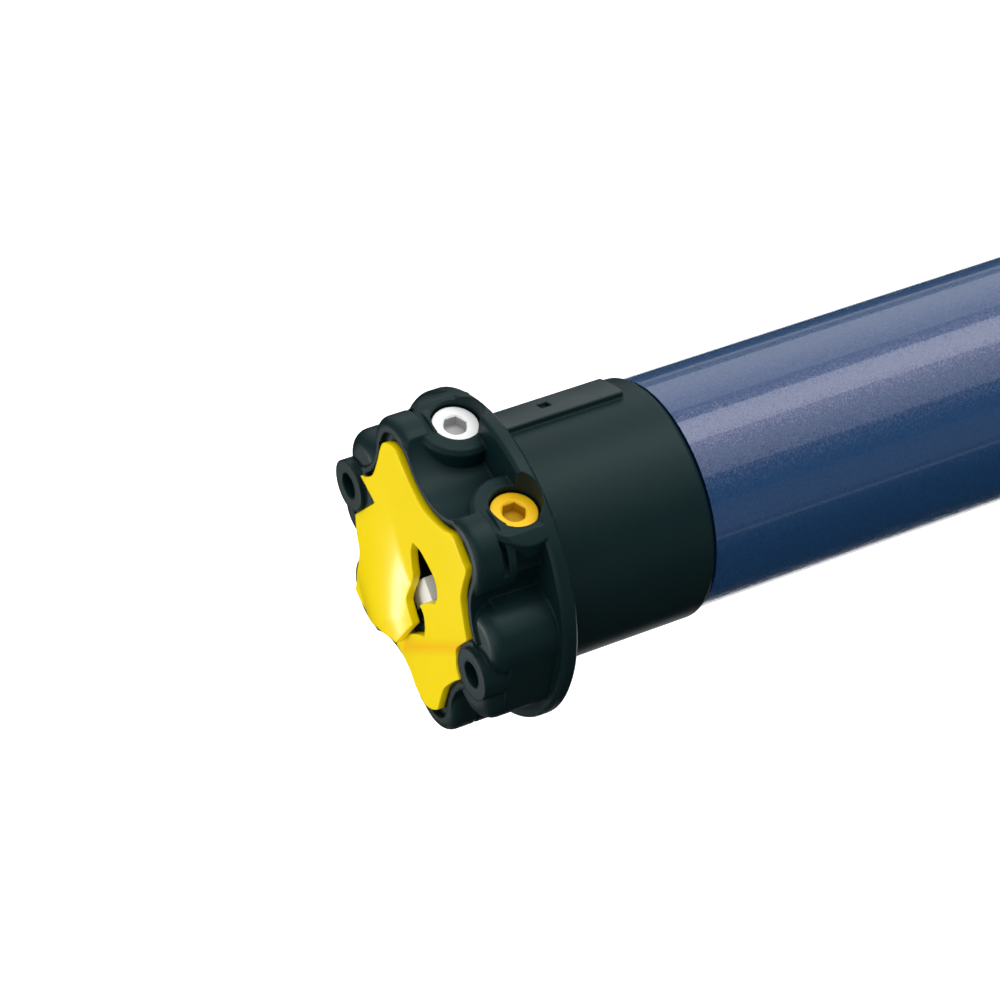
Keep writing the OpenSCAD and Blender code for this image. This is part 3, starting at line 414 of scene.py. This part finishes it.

# %% [markdown]
# Some pieces have a finish of their own, most with a second tone in one place that is painted light or shade. The
# adjusters' hexagon sockets are deep and get painted shade inside. The crown's key, which slides in the roller
# tube's slot, gets a painted highlight along its top. The cover gets a warmer band of painted shade along a fold
# line where its lower arm starts. Each place is a mask worked out from the object coordinates.

# %% Marked finishes
def place_of(tree):
    """The object coordinates, split into X, Y and Z."""
    split = add(tree, "ShaderNodeSeparateXYZ")
    wire(tree, add(tree, "ShaderNodeTexCoord").outputs["Object"], split.inputs[0])
    return split.outputs


def reach_of(tree, a, b):
    """The length of the vector (a, b)."""
    squares = calc(tree, "ADD", calc(tree, "MULTIPLY", a, a), calc(tree, "MULTIPLY", b, b))
    return calc(tree, "SQRT", squares)


ADJUSTER_X, ADJUSTER_Y = 0.0122, 0.011
# Painted shade in the adjusters' hexagon wells: the well's size and how strongly it is darkened.
WELL_RADIUS, WELL_TOP, WELL_SHADE_STRENGTH = 0.00275, 0.02485, 0.5
# Painted highlight on the crown key's top, in patches: from this radius out, with this gain on the mottle.
KEY_RADIUS, KEY_HIGHLIGHT_GAIN = 0.0243, 1.3
# Painted shade along the cover's fold line: the line's direction, place, half width, end and strength.
FOLD_Y, FOLD_Z, FOLD_OFFSET = 0.75, 0.66, 0.0132
FOLD_HALF_WIDTH, FOLD_END_Y, FOLD_SHADE_STRENGTH = 0.0018, -0.001, 0.6


def socket_shade_zone(y):
    """Painted shade in the hexagon well round the vertical axis of the adjuster at that y: nearer to the axis than
    the well's radius and below the well's top."""
    def mask(tree, mottle):
        at = place_of(tree)
        reach = reach_of(tree, calc(tree, "SUBTRACT", at[0], ADJUSTER_X), calc(tree, "SUBTRACT", at[1], y))
        inside = calc(tree, "LESS_THAN", reach, WELL_RADIUS)
        below = calc(tree, "LESS_THAN", at[2], WELL_TOP)
        return calc(tree, "MULTIPLY", inside, calc(tree, "MULTIPLY", below, WELL_SHADE_STRENGTH))
    return mask


def key_highlight_zone(tree, mottle):
    """A painted highlight on the top of the key: further from the motor's axis than the key's radius, in patches.
    """
    at = place_of(tree)
    high = calc(tree, "GREATER_THAN", reach_of(tree, at[1], at[2]), KEY_RADIUS)
    return calc(tree, "MULTIPLY", high, calc(tree, "MULTIPLY", mottle, KEY_HIGHLIGHT_GAIN, clamp=True))


def fold_shade_zone(tree, mottle):
    """A band of painted shade along a slanting fold line in the cover's plane, strongest in its middle and gone at
    its half width.
    """
    at = place_of(tree)
    beside = calc(tree, "ADD", calc(tree, "MULTIPLY", at[1], FOLD_Y), calc(tree, "MULTIPLY", at[2], FOLD_Z))
    off = calc(tree, "ABSOLUTE", calc(tree, "ADD", beside, FOLD_OFFSET))
    band = calc(tree, "SUBTRACT", 1.0, calc(tree, "DIVIDE", off, FOLD_HALF_WIDTH), clamp=True)
    right = calc(tree, "LESS_THAN", at[1], FOLD_END_Y)
    return calc(tree, "MULTIPLY", calc(tree, "MULTIPLY", band, right), FOLD_SHADE_STRENGTH)


MARKED = {
    # Both adjusters darken inside their hexagon wells: painted shade.
    "white_adjuster": finish("white adjuster plastic", rough=0.3, zone=socket_shade_zone(ADJUSTER_Y), **WHITE),
    "yellow_adjuster": finish("orange adjuster plastic", (0.86, 0.50, 0.004), shade=0.04, rough=0.34, shine=0.3,
                              wear=0.25, worn=(0.95, 0.66, 0.03), zone=socket_shade_zone(-ADJUSTER_Y),
                              mark=(0.16, 0.05, 0), **FINE_GRAIN),
    # The crown's key is paler on top: a painted highlight.
    "crown": finish("black crown plastic", zone=key_highlight_zone, mark=(0.035, 0.045, 0.046), **BLACK),
    "cable_socket": finish("white socket plastic", (0.97, 0.97, 0.96), shade=0.01, rough=0.35, shine=0.4,
                           wear=0.0, **FINE_GRAIN),
    # The cover turns orange along its fold line: painted shade.
    "cover": finish("yellow cover plastic", zone=fold_shade_zone, mark=(0.93, 0.42, 0.0), **YELLOW),
}
print(len(MARKED), "marked finishes")

# %% [markdown]
# ## The tube's lacquer
# The tube is rolled steel with a dark blue metallic lacquer. Such a lacquer has three layers: a blue base, tiny
# metal flakes that each face a slightly different way and so glint one by one, and a clear smooth coat. The
# flakes are the cells of a Voronoi pattern: each cell has one random direction, mixed weakly into the normal.
# The clear coat keeps the smooth normal of the tube, so its bands of light stay crisp.

# %% Metallic lacquer
FLAKES_PER_METRE = 5200
FLAKE_TILT = 0.24

lacquer = bpy.data.materials.new("dark blue metallic lacquer")
lacquer.use_nodes = True
tree = lacquer.node_tree
shader = tree.nodes["Principled BSDF"]
place = add(tree, "ShaderNodeTexCoord")
flakes = add(tree, "ShaderNodeTexVoronoi", feature="F1")
flakes.inputs["Scale"].default_value = FLAKES_PER_METRE
wire(tree, place.outputs["Object"], flakes.inputs["Vector"])
centred = add(tree, "ShaderNodeVectorMath", operation="SUBTRACT")
wire(tree, flakes.outputs["Color"], centred.inputs[0])
centred.inputs[1].default_value = (0.5, 0.5, 0.5)
tilted = add(tree, "ShaderNodeVectorMath", operation="SCALE")
wire(tree, centred.outputs[0], tilted.inputs[0])
tilted.inputs["Scale"].default_value = FLAKE_TILT
surface = add(tree, "ShaderNodeNewGeometry")
summed = add(tree, "ShaderNodeVectorMath", operation="ADD")
wire(tree, surface.outputs["Normal"], summed.inputs[0])
wire(tree, tilted.outputs[0], summed.inputs[1])
unit = add(tree, "ShaderNodeVectorMath", operation="NORMALIZE")
wire(tree, summed.outputs[0], unit.inputs[0])
wire(tree, unit.outputs[0], shader.inputs["Normal"])
tone = add(tree, "ShaderNodeMix", data_type="RGBA")
pick = add(tree, "ShaderNodeSeparateColor")
wire(tree, flakes.outputs["Color"], pick.inputs[0])
wire(tree, pick.outputs[0], tone.inputs[0])
tone.inputs[6].default_value = (0.0004, 0.030, 0.098, 1)
tone.inputs[7].default_value = (0.0016, 0.047, 0.132, 1)
wire(tree, tone.outputs[2], shader.inputs["Base Color"])
shader.inputs["Metallic"].default_value = 0.0
shader.inputs["Specular IOR Level"].default_value = 0.62
shader.inputs["Specular Tint"].default_value = (1.0, 0.84, 1.0, 1)
shader.inputs["Roughness"].default_value = 0.3
shader.inputs["Coat Weight"].default_value = 0.5
shader.inputs["Coat Roughness"].default_value = 0.06
FINISHES["blue_tube"] = lacquer
print("flakes", round(1000 / FLAKES_PER_METRE, 2), "mm apart")

# %% [markdown]
# ## Tools for shaped pieces
# A shaped piece is a surface computed with numpy. It is a grid of points: every row is one cross-section, and
# the rows follow each other along the piece. The rows are closed loops, so two lids make the piece solid.

# %% Grid pieces
SHARP_DEGREES = 35


def grid_piece(name, grid, slot, body, *nodes):
    """Makes a piece from a grid of points (rows, points in a row, 3) in metres. Each row is a closed loop, and
    both ends get a lid. The piece rides the body and takes the place of the nodes."""
    rows, loop = grid.shape[:2]
    k = np.arange(rows * loop).reshape(rows, loop)
    near, far = k[:-1], k[1:]
    quads = np.stack([near, np.roll(near, -1, axis=1), np.roll(far, -1, axis=1), far], axis=-1).reshape(-1, 4)
    lids = [k[0][::-1].tolist(), k[-1].tolist()]
    mesh = bpy.data.meshes.new(name)
    mesh.from_pydata(grid.reshape(-1, 3).tolist(), [], quads.tolist() + lids)
    shaped = bmesh.new()
    shaped.from_mesh(mesh)
    bmesh.ops.recalc_face_normals(shaped, faces=shaped.faces)
    shaped.to_mesh(mesh)
    shaped.free()
    mesh.shade_smooth()
    mesh.set_sharp_from_angle(angle=math.radians(SHARP_DEGREES))
    piece = bpy.data.objects.new(name, mesh)
    bpy.context.scene.collection.objects.link(piece)
    mesh.materials.append(FINISHES[slot])
    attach(piece, body)
    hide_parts(*nodes)
    print(name, len(mesh.polygons), "faces")
    return piece


STEPS = 12


def smooth_path(points, corners):
    """A path through points, in STEPS steps between each two: a cubic whose tangent at a point is half the way
    from its one neighbour to the other, or at a corner the straight way to the next point."""
    p = np.array(points, dtype=float)
    middle = np.gradient(p, axis=0)
    step = np.diff(p, axis=0)
    sharp = np.isin(np.arange(len(p)), corners)[:, None]
    leave = np.where(sharp[:-1], step, middle[:-1])[:, None]
    reach = np.where(sharp[1:], step, middle[1:])[:, None]
    t = np.linspace(0, 1, STEPS, endpoint=False)[None, :, None]
    path = ((2 * t**3 - 3 * t**2 + 1) * p[:-1, None] + (t**3 - 2 * t**2 + t) * leave
            + (3 * t**2 - 2 * t**3) * p[1:, None] + (t**3 - t**2) * reach)
    return np.concatenate([path.reshape(-1, 2), p[-1:]])


def even_steps(path, marks, counts):
    """Points along the path: counts[k] of them evenly spaced from point marks[k] to point marks[k + 1]."""
    length = np.concatenate([[0], np.cumsum(np.linalg.norm(np.diff(path, axis=0), axis=1))])
    at = np.concatenate([np.linspace(length[a], length[b], n, endpoint=False)
                         for a, b, n in zip(marks, marks[1:], counts)] + [length[-1:]])
    return np.stack([np.interp(at, length, path[:, k]) for k in (0, 1)], axis=1)


# %% [markdown]
# ## The yellow cover
# The cover is a thin moulded plate that clips into the star-shaped rim, with an opening for the cable's plug.
# Beside the opening the plate swells into a hood, a shallow arch that grows towards its lower end, where the
# cable would leave under it. So the plate is not a full ring: it is cut at the hood's mouth, where one side
# lies flat and the other stands up as the lip. It can be made as a band that follows the ring from the flat
# side of the cut round to the lip. A row of the grid goes across the band from the opening's edge to the outer
# edge, and its height is one function of the place, so arch and plate flow into each other. The two outlines
# are lists of places (y, z) in mm, read off the product's shape.

# %% Cover
OUTER = [(1.4, -21.0), (-1.2, -21.2), (-4.2, -22.1), (-7.1, -23.9), (-10.6, -24.6), (-13.1, -23.4), (-14.9, -21.4),
         (-15.1, -18.6), (-15.5, -14.8), (-16.7, -11.8), (-18.2, -9.1), (-19.8, -6.7), (-18.2, -4.9), (-17.5, -2.5),
         (-17.2, -0.6), (-19.8, 4.4), (-18.2, 6.8), (-16.8, 9.2), (-15.6, 11.8), (-15.5, 15.5), (-15.7, 19.2),
         (-14.3, 20.1), (-12.1, 21.3), (-9.6, 22.3), (-6.3, 20.5), (-2.5, 19.1), (0.6, 18.6), (4.1, 19.3),
         (7.9, 20.7), (11.2, 22.3), (13.4, 22.1), (15.9, 20.1), (16.6, 17.5), (16.9, 13.9), (17.7, 9.5),
         (19.7, 6.7), (21.7, 5.1), (15.6, 3.9), (21.3, -5.5), (19.5, -8.8), (17.4, -11.3), (17.0, -14.6),
         (17.6, -19.1), (17.6, -23.2), (14.4, -24.2), (10.6, -23.3), (5.6, -19.8), (1.6, -17.5), (-1.6, -16.1)]
INNER = [(0.7, -18.4), (-2.0, -14.1), (-4.5, -11.3), (-6.8, -9.3), (-6.6, -7.0), (-5.5, -4.6), (-3.8, -3.7),
         (-5.6, -0.9), (-8.3, 1.7), (-8.6, 4.4), (-7.0, 7.1), (-3.9, 8.2), (-0.9, 8.6), (1.7, 7.9), (1.8, 5.2),
         (0.8, 2.6), (-0.2, 0.4), (0.0, -3.3), (-0.2, -5.7), (-1.2, -6.8), (-3.8, -8.9)]
OUTER_CORNERS, OUTER_MARKS = [6, 11, 15, 36, 37, 38, 43], (0, 6, 15, 23, 31, 38, 43, 48)
INNER_CORNERS, INNER_MARKS = [3, 6, 8, 13], (0, 2, 8, 11, 13, 15, 18, 20)
COUNTS = (60, 90, 70, 50, 60, 70, 50)
FLAT_ROWS = sum(COUNTS[:4])
ROW_POINTS = 19
outer = even_steps(smooth_path(OUTER, OUTER_CORNERS), [STEPS * k for k in OUTER_MARKS], COUNTS)
inner = even_steps(smooth_path(INNER, INNER_CORNERS), [STEPS * k for k in INNER_MARKS], COUNTS)

HOOD_Y, HOOD_Z = 13.5, 0.87
HOOD_COS, HOOD_SIN = 0.745, 0.667
HOOD_RISE, HOOD_START, HOOD_RUN, HOOD_POWER = 2.35, 3, 21, 1.2
RIDGE, HOOD_HALF_WIDTH = 6, 12.5


def hood_height(y, z):
    """Height in mm above the plate: one minus the square of the distance from the ridge over the half width,
    times a rise that grows along the hood's axis from 0 at its upper end to HOOD_RISE at its mouth."""
    along = -HOOD_COS * (y - HOOD_Y) - HOOD_SIN * (z - HOOD_Z)
    across = -HOOD_SIN * (y - HOOD_Y) + HOOD_COS * (z - HOOD_Z)
    rise = HOOD_RISE * np.clip((along + HOOD_START) / HOOD_RUN, 0, 1) ** HOOD_POWER
    return rise * np.maximum(0, 1 - ((across + RIDGE) / HOOD_HALF_WIDTH) ** 2)


PLATE_X, PLATE_T = 0.7, 1.5
across = np.linspace(0, 1, ROW_POINTS)[None, :, None]
yz = inner[:, None] * (1 - across) + outer[:, None] * across
hooded = np.arange(len(inner)) > FLAT_ROWS
lift = hood_height(yz[..., 0], yz[..., 1]) * hooded[:, None]
front = np.concatenate([(PLATE_X - lift)[..., None], yz], axis=-1)
back = front[:, ::-1] + np.array([PLATE_T, 0, 0])
shell = np.concatenate([front, back], axis=1) * MM
cover = grid_piece("cover", shell, "yellow_plastic", "stator", "front_cover")
cover.data.materials[0] = MARKED["cover"]

# %% [markdown]
# ## Dress the CAD nodes
# The record names a material slot for each node. The CAD shapes that are right stay as they are, and their
# slots get the finishes above.

# %% Dress
for part in frame["record"]["subparts"]:
    dressed = NODES[part["node"]]
    for k in range(len(dressed.material_slots)):
        dressed.material_slots[k].material = MARKED.get(part["node"], FINISHES[part["material_slot"]])
